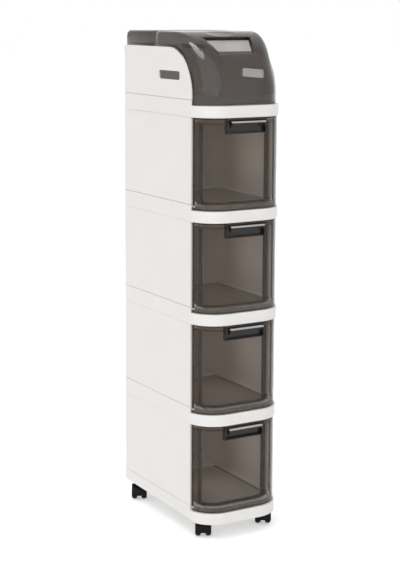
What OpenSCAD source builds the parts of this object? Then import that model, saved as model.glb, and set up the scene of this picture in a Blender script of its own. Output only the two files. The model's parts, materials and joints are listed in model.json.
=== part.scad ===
// Slim bathroom storage tower on casters: four smoky drawers in a stack of white
// tier frames, with a top box closed by a flip-up smoky cover and a fixed rear lid.
// Millimetres. X across (0 at the middle), front towards -Y, Z up, floor at Z = 0.

/* [Tower] */
// Width over the side panels
tower_w = 220; // [190:1:260]
// Depth from the front lip to the back panel's outer face
tower_d = 366; // [330:1:440]
// Plan radius of the two front corners
corner_r = 66; // [50:1:75]
// Plan radius of the two rear corners
rear_r = 10; // [8:1:14]
// Height from one tier to the next
tier_pitch = 226; // [200:1:260]
// Height of a tier frame's lip, as seen from the front
lip_h = 25; // [20:1:30]
// Height of a tier frame's band, as seen from the side
band_h = 37; // [34:1:44]
// Wall of a tier frame
frame_wall = 3; // [2.6:0.1:3]
// Thickness of a tier frame's deck
deck_t = 3; // [2:0.1:4]
// How far the deck lies below the top of the band
deck_drop = 2; // [1.6:0.1:3]
// Height of the base frame's lower edge just behind the front corners
base_cut_front = 7; // [3:0.5:10]
// Height of the base frame's lower edge at the back
base_cut_back = 11; // [5:0.5:14]

/* [Panels] */
// Thickness of the side and back panels
panel_t = 3.6; // [3.5:0.1:4.2]
// Thickness of the tongues that hold a panel in its frames
tongue_t = 2.2; // [1.6:0.1:2.6]
// How far a tongue reaches up into the frame above
tongue_reach = 10; // [6:1:16]
// Distance from the front lip to the side panels' front edge
panel_front = 48; // [46:1:56]
// Visible seam between a panel and the frame below it
seam_gap = 0.8; // [0.5:0.1:1.2]
// Thickness of the return at a side panel's front edge
jamb_t = 2.5; // [2:0.1:3.4]
// Clearance between pieces that only sit together
seat_gap = 0.3; // [0.2:0.05:0.45]

/* [Drawers] */
// How far a drawer's front lies behind the lip
shield_inset = 2.7; // [2:0.1:5]
// Thickness of a drawer's curved front
shield_t = 2.5; // [2:0.1:3]
// Space between a drawer's curved front and its bin
shell_space = 9.8; // [9:0.1:11]
// Wall of a drawer's bin
bin_wall = 2; // [1.6:0.1:2.6]
// Distance from the front lip to the bin's rear face
bin_back = 272; // [220:1:300]
// Free height between a bin's rim and the frame above it
bin_room = 11; // [10:0.5:40]
// Gap between a drawer's front and the lips above and below it
shield_gap = 1.2; // [0.8:0.1:2]
// Play of a bin between its side guides
guide_play = 0.8; // [0.5:0.1:1.2]
// How far a drawer pulls out
drawer_travel = 220; // [150:1:225]

/* [Pulls] */
// Width of the finger recess in a drawer's front
recess_w = 100; // [90:1:104]
// Depth of the recess from the drawer front's outer face
recess_d = 9; // [7:0.1:9.5]
// Height of the recess, from the drawer front's top edge
recess_h = 33; // [28:1:50]
// Width of the hood above the recess
hood_w = 88; // [70:1:92]
// Height of the hood's front strip
hood_h = 9; // [7:0.5:12]
// How far the hood stands out from the drawer's front
hood_out = 11; // [8:0.5:14]
// Distance from the drawer front's top edge to the hood
hood_drop = 3; // [2:0.5:6]
// Wall of the pull
pull_wall = 2; // [1.5:0.1:2.4]

/* [Top box] */
// Height of the top box's panels above the top tray's underside
box_h = 147; // [135:1:170]
// Radius of the arc at the top front of the side panels
box_arc_r = 101; // [80:1:110]
// How far the cover and the rear lid rise above the panels
lid_rise = 33.5; // [28:0.5:40]
// Distance from the front lip to the cover's front
cover_front = 11; // [9:0.5:14]
// Distance from a side panel's outer face to the cover's side
cover_inset = 4.4; // [4.2:0.1:5.5]
// Plan radius of the cover's front corners
cover_corner_r = 62; // [50:1:64]
// Radius along the cover's long top edges
cover_edge_r = 9; // [7:0.5:12]
// Wall of the cover and the rear lid
cover_wall = 2.4; // [2:0.1:3]
// Height of the rim that rests on the panels
rim_h = 4.3; // [3:0.1:6]
// How far the cover's and the lid's walls reach down inside the panels
skirt_h = 10; // [6:1:14]
// Distance from the front lip to the seam between cover and rear lid
seam_y = 217; // [190:1:240]
// Distance from the tower's back to the rear lid's back wall
lid_back_inset = 8; // [6:0.5:12]
// Opening angle of the cover
cover_angle = 110; // [80:1:112]
// Length of a hand slot
slot_l = 92; // [80:1:100]
// Height of a hand slot
slot_h = 19; // [16:1:24]
// Corner radius of a hand slot
slot_r = 4.5; // [2:0.5:8]
// Width of the grip recess in the cover
grip_w = 108; // [90:1:112]
// Depth of the grip recess at its upper edge
grip_d = 11; // [7:0.5:12]

/* [Hinge] */
// Diameter of the cover's hinge pin
hinge_pin_d = 3; // [2.6:0.1:3.4]
// Radius of the hinge barrel
barrel_r = 3.6; // [3.2:0.1:4]
// Running clearance of a pin in its bore
pin_play = 0.06; // [0.03:0.01:0.09]

/* [Casters] */
// Height of the base above the floor
ride_h = 38; // [36.5:0.5:44]
// Diameter of a caster wheel
wheel_d = 34; // [30:0.5:34.5]
// Width of one wheel
wheel_w = 13; // [11:0.5:14]
// Space between the two wheels of a caster
wheel_gap = 10; // [9.6:0.2:11]
// Distance from a caster's stem to its axle
trail = 9; // [6:0.5:10]
// Diameter of a caster's stem
stem_d = 7; // [6:0.1:7.2]
// Diameter of a caster's axle
axle_d = 4; // [3:0.1:5]
// How far a stem reaches up into the base
stem_reach = 24; // [18:1:26]
// Distance from the tower's side to a caster's stem
caster_side = 30; // [28:1:40]
// Distance from the front lip to the front casters' stems
caster_front = 44; // [40:1:70]
// Distance from the tower's back to the rear casters' stems
caster_back = 20; // [18:1:60]
// Angle at which the front casters stand; the rear ones are half a turn on
caster_yaw = -30; // [-45:1:-15]

/* [Hidden] */
$fn = 96;
tiny = 0.01;
cross = 0.06;
lap = 1;
big = 3 * tower_d;
half_w = tower_w / 2;
deck_top = band_h - deck_drop;
top_z = 4 * tier_pitch;
box_top = top_z + box_h;
lid_top = box_top + lid_rise;
// the hood stands before the lip, so the middle of the outline lies between its face and the back
hood_front = shield_inset - hood_out;
mid_y = (tower_d + min(hood_front, 0)) / 2;
panel_back = tower_d - rear_r - panel_t;
tongue_out = frame_wall + seat_gap;
tongue_in = panel_t + tongue_t;
tongue_short = 4;
side_inner = half_w - tongue_in;
back_tongue_half = half_w - rear_r - 6;
// drawers
bin_inset = shield_inset + shield_t + shell_space;
bin_half = half_w - bin_inset;
bin_z = band_h;
bin_top = tier_pitch - bin_room;
web_t = 2;
rib_t = 2;
rib_h = 8;
riser_inset = shield_inset + shield_t + 3.6;
shield_bottom = lip_h + shield_gap;
shield_top = tier_pitch - shield_gap;
shield_back = panel_front - 1;
runner_x = bin_half - 12;
runner_w = 5;
runner_h = 0.8;
guide_t = 2.4;
guide_h = 8;
guide_front = panel_front + 4;
stop_t = 4;
stop_w = 50;
stop_lug_y = bin_back - 2 * stop_t;
stop_rib_y = stop_lug_y - drawer_travel - stop_t - seat_gap;
bin_rear_r = 8;
hold_h = 2.2;
hold_gap = 1.2;
hold_past = 40;
// top box
arc_y = panel_front + box_arc_r;
arc_z = box_top - box_arc_r;
cover_half = half_w - cover_inset;
cover_r = arc_y - cover_front;
cover_z = lid_top - cover_r;
lid_back = tower_d - lid_back_inset;
rear_edge_r = 14;
rim_inset = 1.4;
cover_bottom = top_z + lip_h + shield_gap;
slot_y = arc_y;
slot_drop = 60.5;
slot_z = box_top - slot_drop;
// hinge
hinge_y = seam_y;
hinge_z = lid_top - barrel_r;
knuckle_gap = 0.4;
knuckles_n = 5;
knuckle_span = 2 * (cover_half - cover_edge_r);
knuckle_w = (knuckle_span - (knuckles_n - 1) * knuckle_gap) / knuckles_n;
knuckle_room = barrel_r + seat_gap;
pin_end = 2;
strap_drop = 0.6;
// grip in the cover
grip_low = 40;
grip_high = 66;
dish_w = 70;
dish_d = 2.6;
dish_r = 40;
dish_angle = 77;
dish_spread = 9;
arc_deg = 180 / (PI * cover_r);
// casters
wheel_r = wheel_d / 2;
axle_z = wheel_r - ride_h;
wheel_clear = 0.7;
hood_t = 1.6;
hood_r = wheel_r + wheel_clear + hood_t;
hood_low = 5;
hood_gap = 0.6;
stem_bottom = axle_z + axle_d / 2 + 2;
hub_w = wheel_gap - 0.6;
axle_end = 2;
wheel_hub_r = 5;
wheel_rim = 4;
caster_half = wheel_gap / 2 + wheel_w;
neck_r = stem_d / 2 + 4;
socket_r = stem_d / 2 + 2.4;
press_gap = 0.03;
socket_flange_t = 1.2;
socket_top = stem_reach + 1.5;
boss_r = socket_r + 3;
boss_bottom = 8;
neck_top = boss_bottom - socket_flange_t - hood_gap;
caster_x = half_w - caster_side;
caster_spots = [
    [-caster_x, caster_front], [caster_x, caster_front],
    [-caster_x, tower_d - caster_back], [caster_x, tower_d - caster_back]
];

white = [0.93, 0.92, 0.9];
smoke = [0.32, 0.28, 0.26, 0.85];
dark = [0.1, 0.09, 0.09];
black = [0.06, 0.06, 0.06];
steel = [0.7, 0.7, 0.72];

// ---- helpers ----

// Moves a piece drawn from the front lip and the base's underside to the tower's own frame
module placed() {
    translate([0, -mid_y, ride_h]) children();
}

// Extrudes a side view, drawn as (depth, height), to both sides of the middle
module across(half) {
    rotate([90, 0, 90]) linear_extrude(2 * half, center = true) children();
}

// Extrudes a plan view between two heights
module rise(low, high) {
    translate([0, 0, low]) linear_extrude(high - low) children();
}

// Rounded plan outline with its own front and rear radii
module outline(half, front, back, front_r, back_r) {
    translate([-half, front + front_r]) square([2 * half, back - back_r - front - front_r]);
    rounded_end(half, front + front_r, -1, front_r);
    rounded_end(half, back - back_r, 1, back_r);
}

// Last strip of an outline, from a line upwards or downwards, with a quarter disc at each end
module rounded_end(half, line, up, r) {
    translate([r - half, up > 0 ? line : line - r]) square([2 * (half - r), r]);
    for (side = [-1, 1]) translate([side * (half - r), line]) quarter(side, up, r);
}

// Quarter disc, to one side of its centre and above or below it
module quarter(side, up, r) {
    intersection() {
        circle(r);
        translate([side > 0 ? 0 : -2 * r, up > 0 ? 0 : -2 * r]) square(2 * r);
    }
}

// The tower's own outline, drawn in by an inset
module plan(inset = 0) {
    outline(half_w - inset, inset, tower_d - inset, corner_r - inset, max(rear_r - inset, 1));
}

// Band of the tower's outline between two insets
module plan_ring(outer, inner) {
    difference() {
        plan(outer);
        plan(inner);
    }
}

// Keeps what lies between two depths
module between(front, back) {
    intersection() {
        children();
        translate([-big / 2, front]) square([big, back - front]);
    }
}

// Keeps one side of the tower, -1 left or 1 right
module one_side(side) {
    intersection() {
        children();
        translate([side > 0 ? 0 : -big, -big / 2]) square([big, big]);
    }
}

// ---- tier frames ----

// Lip round the front and taller band along the sides and back
module frame_skirt() {
    rise(0, lip_h) plan_ring(0, frame_wall);
    rise(lip_h - tiny, band_h) between(panel_front, big) plan_ring(0, frame_wall);
}

// Cross and long ribs under a deck
module deck_ribs(low, high) {
    rise(low, high) intersection() {
        plan(riser_inset + lap);
        for (x = [-runner_x, 0, runner_x]) translate([x - rib_t / 2, 0]) square([rib_t, tower_d]);
    }
    for (part = [1 : 3])
        translate([-half_w + lap, part * tower_d / 4, low])
            cube([tower_w - 2 * lap, rib_t, high - low]);
}

// Deck of a drawer tier: stepped up behind the lip, with runners, side guides and a stop
module drawer_deck() {
    rise(lip_h - deck_t, lip_h) between(0, panel_front + frame_wall)
        plan_ring(lap, riser_inset + frame_wall);
    rise(lip_h - deck_t, deck_top) between(0, panel_front + frame_wall)
        plan_ring(riser_inset, riser_inset + frame_wall);
    rise(deck_top - deck_t, deck_top) plan(riser_inset);
    rise(deck_top - deck_t, deck_top) between(panel_front, big) plan(lap);
    deck_ribs(deck_top - deck_t - rib_h, deck_top - tiny);
    rise(deck_top - tiny, deck_top + runner_h) intersection() {
        plan(riser_inset + lap);
        at_runners(runner_w) square([runner_w, bin_back]);
    }
    for (side = [-1, 1])
        translate([side * (bin_half + guide_play + guide_t / 2) - guide_t / 2, guide_front, deck_top - tiny])
            cube([guide_t, bin_back - guide_front, guide_h]);
    translate([-stop_w / 2, stop_rib_y, deck_top - tiny]) cube([stop_w, stop_t, runner_h + tiny]);
}

// Puts a strip of a given width on both runner lines
module at_runners(w) {
    for (side = [-1, 1]) translate([side * runner_x - w / 2, 0]) children();
}

module shelf_frame(level) {
    color(white) placed() translate([0, 0, level * tier_pitch]) {
        frame_skirt();
        drawer_deck();
    }
}

// The lowest frame also carries the caster bosses; its skirt is cut higher behind the front corners
module base_frame() {
    color(white) difference() {
        union() {
            shelf_frame(0);
            placed() at_casters() translate([0, 0, boss_bottom])
                cylinder(r = boss_r, h = deck_top - deck_t - boss_bottom + tiny);
        }
        placed() at_casters() translate([0, 0, boss_bottom - lap])
            cylinder(r = socket_r + press_gap, h = socket_top + 2 * lap - boss_bottom);
        placed() across(half_w + 1) polygon([
            [corner_r / 2, -1], [corner_r, base_cut_front], [tower_d + 1, base_cut_back], [tower_d + 1, -1]
        ]);
    }
}

// Closed floor of the top box, with a low upstand that keeps dust out under the cover
module top_tray() {
    upstand_h = 5;
    upstand_t = 1.6;
    upstand_inset = cover_front + cover_wall + upstand_t;
    color(white) placed() translate([0, 0, top_z]) {
        frame_skirt();
        rise(lip_h - deck_t, lip_h) plan(lap);
        rise(lip_h - tiny, lip_h + upstand_h) between(0, panel_front)
            plan_ring(upstand_inset, upstand_inset + upstand_t);
        deck_ribs(lip_h - deck_t - rib_h, lip_h - tiny);
    }
}

// ---- panels ----

// Side panel of one drawer tier: skin, tongue, front return and hold-down rib
module side_panel(side, level) {
    inner = bin_half + guide_play;
    color(white) placed() translate([0, 0, level * tier_pitch]) {
        rise(band_h + seam_gap, tier_pitch - seat_gap)
            one_side(side) between(panel_front, panel_back) plan_ring(0, panel_t);
        rise(deck_top + seat_gap, tier_pitch + tongue_reach)
            one_side(side) between(panel_front + jamb_t / 2, panel_back - tongue_short)
                plan_ring(tongue_out, tongue_in);
        rise(band_h + seam_gap, tier_pitch - seat_gap) one_side(side) difference() {
            between(panel_front, panel_front + jamb_t) plan(tongue_out);
            square(2 * [inner, tower_d], center = true);
        }
        translate([side > 0 ? bin_half - bin_wall : -side_inner - tiny, guide_front, bin_top + hold_gap])
            cube([side_inner - bin_half + bin_wall + tiny, bin_back - guide_front + hold_past, hold_h]);
    }
}

// Back panel of one drawer tier, with the two rear corners
module back_panel(level) {
    color(white) placed() translate([0, 0, level * tier_pitch]) {
        back_skin(band_h + seam_gap, tier_pitch - seat_gap);
        back_tongue(deck_top + seat_gap, tier_pitch + tongue_reach);
    }
}

module back_skin(low, high) {
    rise(low, high) between(panel_back + seat_gap, big) plan_ring(0, panel_t);
}

module back_tongue(low, high) {
    rise(low, high) between(tower_d - tongue_in, tower_d - tongue_out)
        square(2 * [back_tongue_half, tower_d], center = true);
}

// ---- top box ----

// Side view of the top box's panels, grown outwards by a margin
module box_side(grow = 0) {
    r = box_arc_r + grow;
    translate([arc_y, arc_z]) quarter(-1, 1, r);
    translate([arc_y - r, top_z]) square([r, arc_z - top_z]);
    translate([arc_y, top_z]) square([tower_d, arc_z + r - top_z]);
}

module box_panel(side) {
    color(white) placed() difference() {
        union() {
            intersection() {
                rise(top_z + band_h + seam_gap, lid_top)
                    one_side(side) between(cover_front, panel_back) plan_ring(0, panel_t);
                across(half_w + 1) box_side();
            }
            rise(top_z + lip_h + seat_gap, top_z + band_h + tongue_reach)
                one_side(side) between(cover_front + cover_corner_r, panel_back - tongue_short)
                    plan_ring(tongue_out, tongue_in);
        }
        hand_slot(side);
    }
}

// Slot with rounded corners through one side panel
module hand_slot(side) {
    translate([side * half_w, slot_y, slot_z]) rotate([90, 0, 90])
        linear_extrude(4 * panel_t, center = true)
            outline(slot_l / 2, -slot_h / 2, slot_h / 2, slot_r, slot_r);
}

module top_back_panel() {
    color(white) placed() {
        back_skin(top_z + band_h + seam_gap, box_top);
        back_tongue(top_z + lip_h + seat_gap, top_z + band_h + tongue_reach);
    }
}

// Side view of the cover and the rear lid together, drawn in by an inset
module lid_side(inset = 0) {
    r = cover_r - inset;
    edge_r = rear_edge_r - inset;
    edge_y = lid_back - rear_edge_r;
    edge_z = lid_top - rear_edge_r;
    translate([arc_y, cover_z]) quarter(-1, 1, r);
    translate([arc_y - r, top_z]) square([r, cover_z - top_z]);
    translate([arc_y, top_z]) square([edge_y + edge_r - arc_y, edge_z - top_z]);
    translate([arc_y, edge_z]) square([edge_y - arc_y, edge_r]);
    translate([edge_y, edge_z]) quarter(1, 1, edge_r);
}

// Front view of the cover and the rear lid, with rounded long edges
module lid_front(inset = 0) {
    half = cover_half - inset;
    edge_z = lid_top - cover_edge_r + cross;
    translate([-half, top_z]) square([2 * half, edge_z - top_z]);
    rounded_end(half, edge_z, 1, cover_edge_r - inset);
}

// The front view and the plan lie a little outside the side view, so that round faces cross where
// they would only touch
module lid_solid(inset = 0) {
    intersection() {
        across(half_w) lid_side(inset);
        translate([0, tower_d + 1, 0]) rotate([90, 0, 0]) linear_extrude(tower_d + 2) lid_front(inset);
        rise(top_z + 1, lid_top + 1)
            outline(cover_half - inset, cover_front - cross + inset, lid_back + cross - inset,
                cover_corner_r - inset, rear_edge_r - inset);
    }
}

// Point on the cover's arc: angle from the front, and depth below its surface
function on_arc(angle, deep = 0) =
    [arc_y - (cover_r - deep) * cos(angle), cover_z + (cover_r - deep) * sin(angle)];

// Side view of the finger recess: it gets deeper upwards and ends under an edge
module grip_side(grow = 0) {
    low = grip_low - grow * arc_deg;
    high = grip_high + grow * arc_deg;
    polygon([on_arc(low, grow), on_arc(high, grip_d + grow), on_arc(high, -grip_d), on_arc(low, -grip_d)]);
}

// Side view of the ring sector in which the dish is sunk
module dish_side() {
    low = dish_angle - dish_spread;
    high = dish_angle + dish_spread;
    intersection() {
        translate([arc_y, cover_z]) difference() {
            circle(cover_r - cover_wall / 2);
            circle(cover_r - dish_d - cover_wall);
        }
        polygon([[arc_y, cover_z], on_arc(low, -grip_d), on_arc(high, -grip_d)]);
    }
}

// Shallow dish behind the edge of the finger recess
module dish_cut() {
    centre = on_arc(dish_angle, dish_d - dish_r);
    translate([0, centre[0], centre[1]]) rotate([0, 90, 0]) cylinder(r = dish_r, h = dish_w, center = true);
}

// Rim that rests on the edges of the top box's panels
module lid_rim() {
    difference() {
        intersection() {
            across(half_w) difference() {
                box_side(rim_h + seat_gap);
                box_side(seat_gap);
            }
            rise(cover_bottom, lid_top) plan(rim_inset);
        }
        lid_solid(cover_wall / 2);
    }
}

// Walls and roof of the cover and the rear lid, before they are parted at the seam
module lid_walls() {
    difference() {
        lid_solid();
        difference() {
            lid_solid(cover_wall);
            across(grip_w / 2 + cover_wall) grip_side(cover_wall);
            across(dish_w / 2 + cover_wall) dish_side();
        }
        across(half_w + 1) box_side(-skirt_h);
        translate([-big / 2, -big / 2, top_z]) cube([big, big, cover_bottom - top_z]);
        across(grip_w / 2) grip_side();
        dish_cut();
    }
    lid_rim();
}

// One hinge knuckle, counted from the left; the cover has the odd ones
module knuckle(i, r, w) {
    x = (i - (knuckles_n + 1) / 2) * (knuckle_w + knuckle_gap);
    translate([x, hinge_y, hinge_z]) rotate([0, 90, 0]) cylinder(r = r, h = w, center = true);
}

module hinge_bore() {
    translate([0, hinge_y, hinge_z]) rotate([0, 90, 0])
        cylinder(r = hinge_pin_d / 2 + pin_play, h = 2 * cover_half - 2 * cover_wall, center = true);
}

module flip_cover() {
    color(smoke) placed() difference() {
        union() {
            intersection() {
                lid_walls();
                translate([-big / 2, hinge_y - big, top_z]) cube([big, big, big]);
            }
            for (i = [1 : 2 : knuckles_n]) knuckle(i, barrel_r, knuckle_w);
        }
        for (i = [2 : 2 : knuckles_n]) knuckle(i, knuckle_room, knuckle_w + 2 * knuckle_gap);
        hinge_bore();
    }
}

// Side view of what the open cover needs of the rear lid's front edge
module cover_swing() {
    lean = cover_angle + 2 - 90;
    front = knuckle_room / cos(lean);
    translate([hinge_y, hinge_z]) {
        circle(knuckle_room);
        polygon([
            [-big, 0], [front, 0], [front + 2 * barrel_r * tan(lean), 2 * barrel_r], [-big, 2 * barrel_r]
        ]);
    }
}

// Side view of the strap that joins a knuckle to the rear lid from below
module strap_side() {
    reach = 2.6 * barrel_r;
    rise_at = 1.3 * barrel_r;
    translate([hinge_y, hinge_z]) polygon([
        [0, -barrel_r], [reach, -barrel_r], [reach, barrel_r / 2],
        [rise_at + barrel_r / 2, barrel_r / 2], [rise_at, -strap_drop], [0, -strap_drop]
    ]);
}

module rear_lid() {
    color(smoke) placed() difference() {
        union() {
            difference() {
                lid_walls();
                translate([-big / 2, hinge_y + seat_gap - big, top_z]) cube([big, big, big]);
                across(half_w) cover_swing();
            }
            for (i = [2 : 2 : knuckles_n]) {
                knuckle(i, barrel_r, knuckle_w);
                translate([(i - (knuckles_n + 1) / 2) * (knuckle_w + knuckle_gap), 0, 0])
                    across(knuckle_w / 2) strap_side();
            }
        }
        hinge_bore();
    }
}

module hinge_pin() {
    color(steel) placed() translate([0, hinge_y, hinge_z]) rotate([0, 90, 0])
        cylinder(r = hinge_pin_d / 2, h = knuckle_span - 2 * pin_end, center = true);
}

// ---- drawers ----

module drawer_level(level) {
    placed() translate([0, 0, level * tier_pitch]) children();
}

// Plan outline of a bin, drawn in by a margin
module bin_plan(inset = 0) {
    outline(bin_half - inset, bin_inset + inset, bin_back - inset,
        corner_r - bin_inset - inset, bin_rear_r - inset);
}

// Open bin with two skids and a stop lug under its floor
module drawer_bin(level) {
    skid_w = runner_w - 1;
    skid_bottom = deck_top + runner_h + seat_gap;
    color(smoke) drawer_level(level) {
        rise(bin_z, bin_z + bin_wall) bin_plan();
        rise(bin_z + bin_wall - tiny, bin_top) difference() {
            bin_plan();
            bin_plan(bin_wall);
        }
        rise(skid_bottom, bin_z + tiny) intersection() {
            bin_plan(bin_wall);
            at_runners(skid_w) square([skid_w, bin_back - stop_t]);
        }
        translate([-stop_w / 2, stop_lug_y, deck_top + seat_gap])
            cube([stop_w, stop_t, bin_z - deck_top - seat_gap + tiny]);
    }
}

// Room for the pull in a drawer's front
module pull_window() {
    translate([-recess_w / 2 - seat_gap / 2, -1, shield_top - recess_h - seat_gap / 2])
        cube([recess_w + seat_gap, bin_inset, recess_h + 5]);
}

// Curved front, with the two webs that hold it to the bin
module drawer_front(level) {
    color(smoke) drawer_level(level) difference() {
        union() {
            rise(shield_bottom, shield_top) between(0, shield_back)
                plan_ring(shield_inset, shield_inset + shield_t);
            for (z = [bin_z, bin_top - web_t])
                rise(z, z + web_t) between(0, shield_back) plan_ring(shield_inset + lap, bin_inset - seat_gap);
        }
        pull_window();
    }
}

// Finger recess with a hood above it
module drawer_pull(level) {
    hood_top = shield_top - hood_drop;
    low = shield_top - recess_h;
    back = shield_inset + recess_d;
    color(dark) drawer_level(level) {
        difference() {
            translate([-recess_w / 2, shield_inset, low]) cube([recess_w, recess_d + pull_wall, recess_h]);
            translate([-recess_w / 2 + pull_wall, -1, low + pull_wall])
                cube([recess_w - 2 * pull_wall, back + 1, hood_top - 2 * pull_wall - low]);
        }
        translate([-hood_w / 2, hood_front, hood_top - pull_wall])
            cube([hood_w, hood_out + 1, pull_wall]);
        translate([-hood_w / 2, hood_front, hood_top - hood_h])
            cube([hood_w, pull_wall, hood_h]);
        for (side = [-1, 1])
            translate([side * (hood_w / 2 - pull_wall / 2), 0, 0]) across(pull_wall / 2) polygon([
                [hood_front, hood_top], [hood_front, hood_top - hood_h],
                [shield_inset + lap, hood_top - 2 * hood_h], [shield_inset + lap, hood_top]
            ]);
    }
}

// ---- casters ----

module at_casters() {
    for (spot = caster_spots) translate([spot[0], spot[1], 0]) children();
}

// Puts a piece at one caster, turned about its stem
module caster(i) {
    spot = caster_spots[i - 1];
    color(black) placed() translate([spot[0], spot[1], 0])
        rotate(caster_yaw + (i > 2 ? 180 : 0)) children();
}

module along_axle(r, low, high) {
    translate([low, trail, axle_z]) rotate([0, 90, 0]) cylinder(r = r, h = high - low);
}

// Sleeves with a flange, one in each boss of the base
module caster_sockets() {
    color(dark) placed() at_casters() difference() {
        union() {
            translate([0, 0, boss_bottom - tiny]) cylinder(r = socket_r, h = socket_top - boss_bottom);
            translate([0, 0, boss_bottom - socket_flange_t])
                cylinder(r = boss_r - 1, h = socket_flange_t);
        }
        cylinder(r = stem_d / 2 + pin_play, h = 3 * stem_reach, center = true);
    }
}

module caster_stem(i) {
    color(steel) caster(i)
        translate([0, 0, stem_bottom]) cylinder(d = stem_d, h = stem_reach - stem_bottom);
}

// Arched cover over both wheels, centre web between them and neck round the stem
module caster_hood(i) {
    caster(i) difference() {
        union() {
            along_axle(hood_r, -caster_half, caster_half);
            translate([0, 0, axle_z]) cylinder(r = neck_r, h = neck_top - axle_z);
        }
        along_axle(wheel_r + wheel_clear, hub_w / 2, big);
        along_axle(wheel_r + wheel_clear, -big, -hub_w / 2);
        translate([-big / 2, -big / 2, axle_z - hood_low - big]) cube([big, big, big]);
        translate([0, 0, stem_bottom]) cylinder(d = stem_d, h = big);
        along_axle(axle_d / 2 + pin_play, -big / 2, big / 2);
    }
}

module caster_axle(i) {
    color(steel) caster(i) along_axle(axle_d / 2, -caster_half + axle_end, caster_half - axle_end);
}

// Two wheels with rounded treads and dished outer faces, pressed on the axle
module caster_wheels(i) {
    tread_r = 2.5;
    caster(i) for (side = [-1, 1])
        translate([side * wheel_gap / 2, trail, axle_z]) rotate([0, side * 90, 0]) difference() {
            rotate_extrude() {
                square([wheel_r - tread_r, wheel_w]);
                translate([wheel_r - tread_r, tread_r]) square([tread_r, wheel_w - 2 * tread_r]);
                for (up = [-1, 1])
                    translate([wheel_r - tread_r, up > 0 ? wheel_w - tread_r : tread_r])
                        quarter(1, up, tread_r);
            }
            translate([0, 0, -lap]) cylinder(d = axle_d, h = wheel_w - lap);
            translate([0, 0, wheel_w - lap]) difference() {
                cylinder(r = wheel_r - wheel_rim, h = 2 * lap);
                translate([0, 0, -lap]) cylinder(r = wheel_hub_r, h = 4 * lap);
            }
        }
}

base_frame();
shelf_frame(1);  // shelf_frame_2
shelf_frame(2);  // shelf_frame_3
shelf_frame(3);  // shelf_frame_4
top_tray();
side_panel(-1, 0);  // left_panel_1
side_panel(-1, 1);  // left_panel_2
side_panel(-1, 2);  // left_panel_3
side_panel(-1, 3);  // left_panel_4
side_panel(1, 0);  // right_panel_1
side_panel(1, 1);  // right_panel_2
side_panel(1, 2);  // right_panel_3
side_panel(1, 3);  // right_panel_4
back_panel(0);  // back_panel_1
back_panel(1);  // back_panel_2
back_panel(2);  // back_panel_3
back_panel(3);  // back_panel_4
box_panel(-1);  // top_left_panel
box_panel(1);  // top_right_panel
top_back_panel();
rear_lid();
flip_cover();
hinge_pin();
drawer_bin(0);  // drawer_bin_1
drawer_bin(1);  // drawer_bin_2
drawer_bin(2);  // drawer_bin_3
drawer_bin(3);  // drawer_bin_4
drawer_front(0);  // drawer_front_1
drawer_front(1);  // drawer_front_2
drawer_front(2);  // drawer_front_3
drawer_front(3);  // drawer_front_4
drawer_pull(0);  // drawer_pull_1
drawer_pull(1);  // drawer_pull_2
drawer_pull(2);  // drawer_pull_3
drawer_pull(3);  // drawer_pull_4
caster_sockets();
caster_stem(1);  // caster_stem_1
caster_stem(2);  // caster_stem_2
caster_stem(3);  // caster_stem_3
caster_stem(4);  // caster_stem_4
caster_hood(1);  // caster_hood_1
caster_hood(2);  // caster_hood_2
caster_hood(3);  // caster_hood_3
caster_hood(4);  // caster_hood_4
caster_axle(1);  // caster_axle_1
caster_axle(2);  // caster_axle_2
caster_axle(3);  // caster_axle_3
caster_axle(4);  // caster_axle_4
caster_wheels(1);  // caster_wheels_1
caster_wheels(2);  // caster_wheels_2
caster_wheels(3);  // caster_wheels_3
caster_wheels(4);  // caster_wheels_4
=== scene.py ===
"""Bathroom storage tower: four smoky drawers in a stack of white frames, with a top box under a
smoky flip cover, on swivel casters. Pieces are drawn in millimetres from the front lip (Y) and
from the base's underside (Z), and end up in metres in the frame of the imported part."""

import json
import math

import bmesh
import bpy
from bpy.props import FloatProperty, FloatVectorProperty, IntProperty, PointerProperty
from mathutils import Matrix, Vector


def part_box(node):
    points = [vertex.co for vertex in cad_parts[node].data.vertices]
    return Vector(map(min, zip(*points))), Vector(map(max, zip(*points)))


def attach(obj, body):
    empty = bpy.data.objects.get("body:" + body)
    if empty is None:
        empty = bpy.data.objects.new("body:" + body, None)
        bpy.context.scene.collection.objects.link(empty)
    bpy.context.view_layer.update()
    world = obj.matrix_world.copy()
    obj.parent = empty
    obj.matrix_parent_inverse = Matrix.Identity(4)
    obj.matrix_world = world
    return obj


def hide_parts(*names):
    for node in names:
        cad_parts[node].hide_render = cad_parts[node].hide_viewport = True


bl_info = {
    "name": "Bathroom storage tower",
    "version": (1, 0, 0),
    "blender": (4, 5, 0),
    "location": "View3D > Sidebar > Tower",
    "description": "Dresses a slim storage tower with drawers and casters",
    "category": "Object",
}

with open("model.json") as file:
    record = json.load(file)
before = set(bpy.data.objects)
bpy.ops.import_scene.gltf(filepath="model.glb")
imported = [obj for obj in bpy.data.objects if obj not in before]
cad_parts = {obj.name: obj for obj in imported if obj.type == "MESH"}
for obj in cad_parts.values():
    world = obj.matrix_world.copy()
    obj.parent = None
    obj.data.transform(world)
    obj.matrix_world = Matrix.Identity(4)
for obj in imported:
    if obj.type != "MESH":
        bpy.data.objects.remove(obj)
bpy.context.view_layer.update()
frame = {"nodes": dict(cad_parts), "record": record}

MM = 0.001
BASE_LOW, BASE_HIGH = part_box("base_frame")
FRONT_Y, BASE_Z = BASE_LOW.y, BASE_LOW.z
HALF_W = BASE_HIGH.x / MM


def depths(node):
    """Front and rear of a node, in millimetres behind the front lip."""
    return [(corner.y - FRONT_Y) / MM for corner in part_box(node)]


def heights(node):
    """Bottom and top of a node, in millimetres above the base's underside."""
    return [(corner.z - BASE_Z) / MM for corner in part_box(node)]


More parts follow.
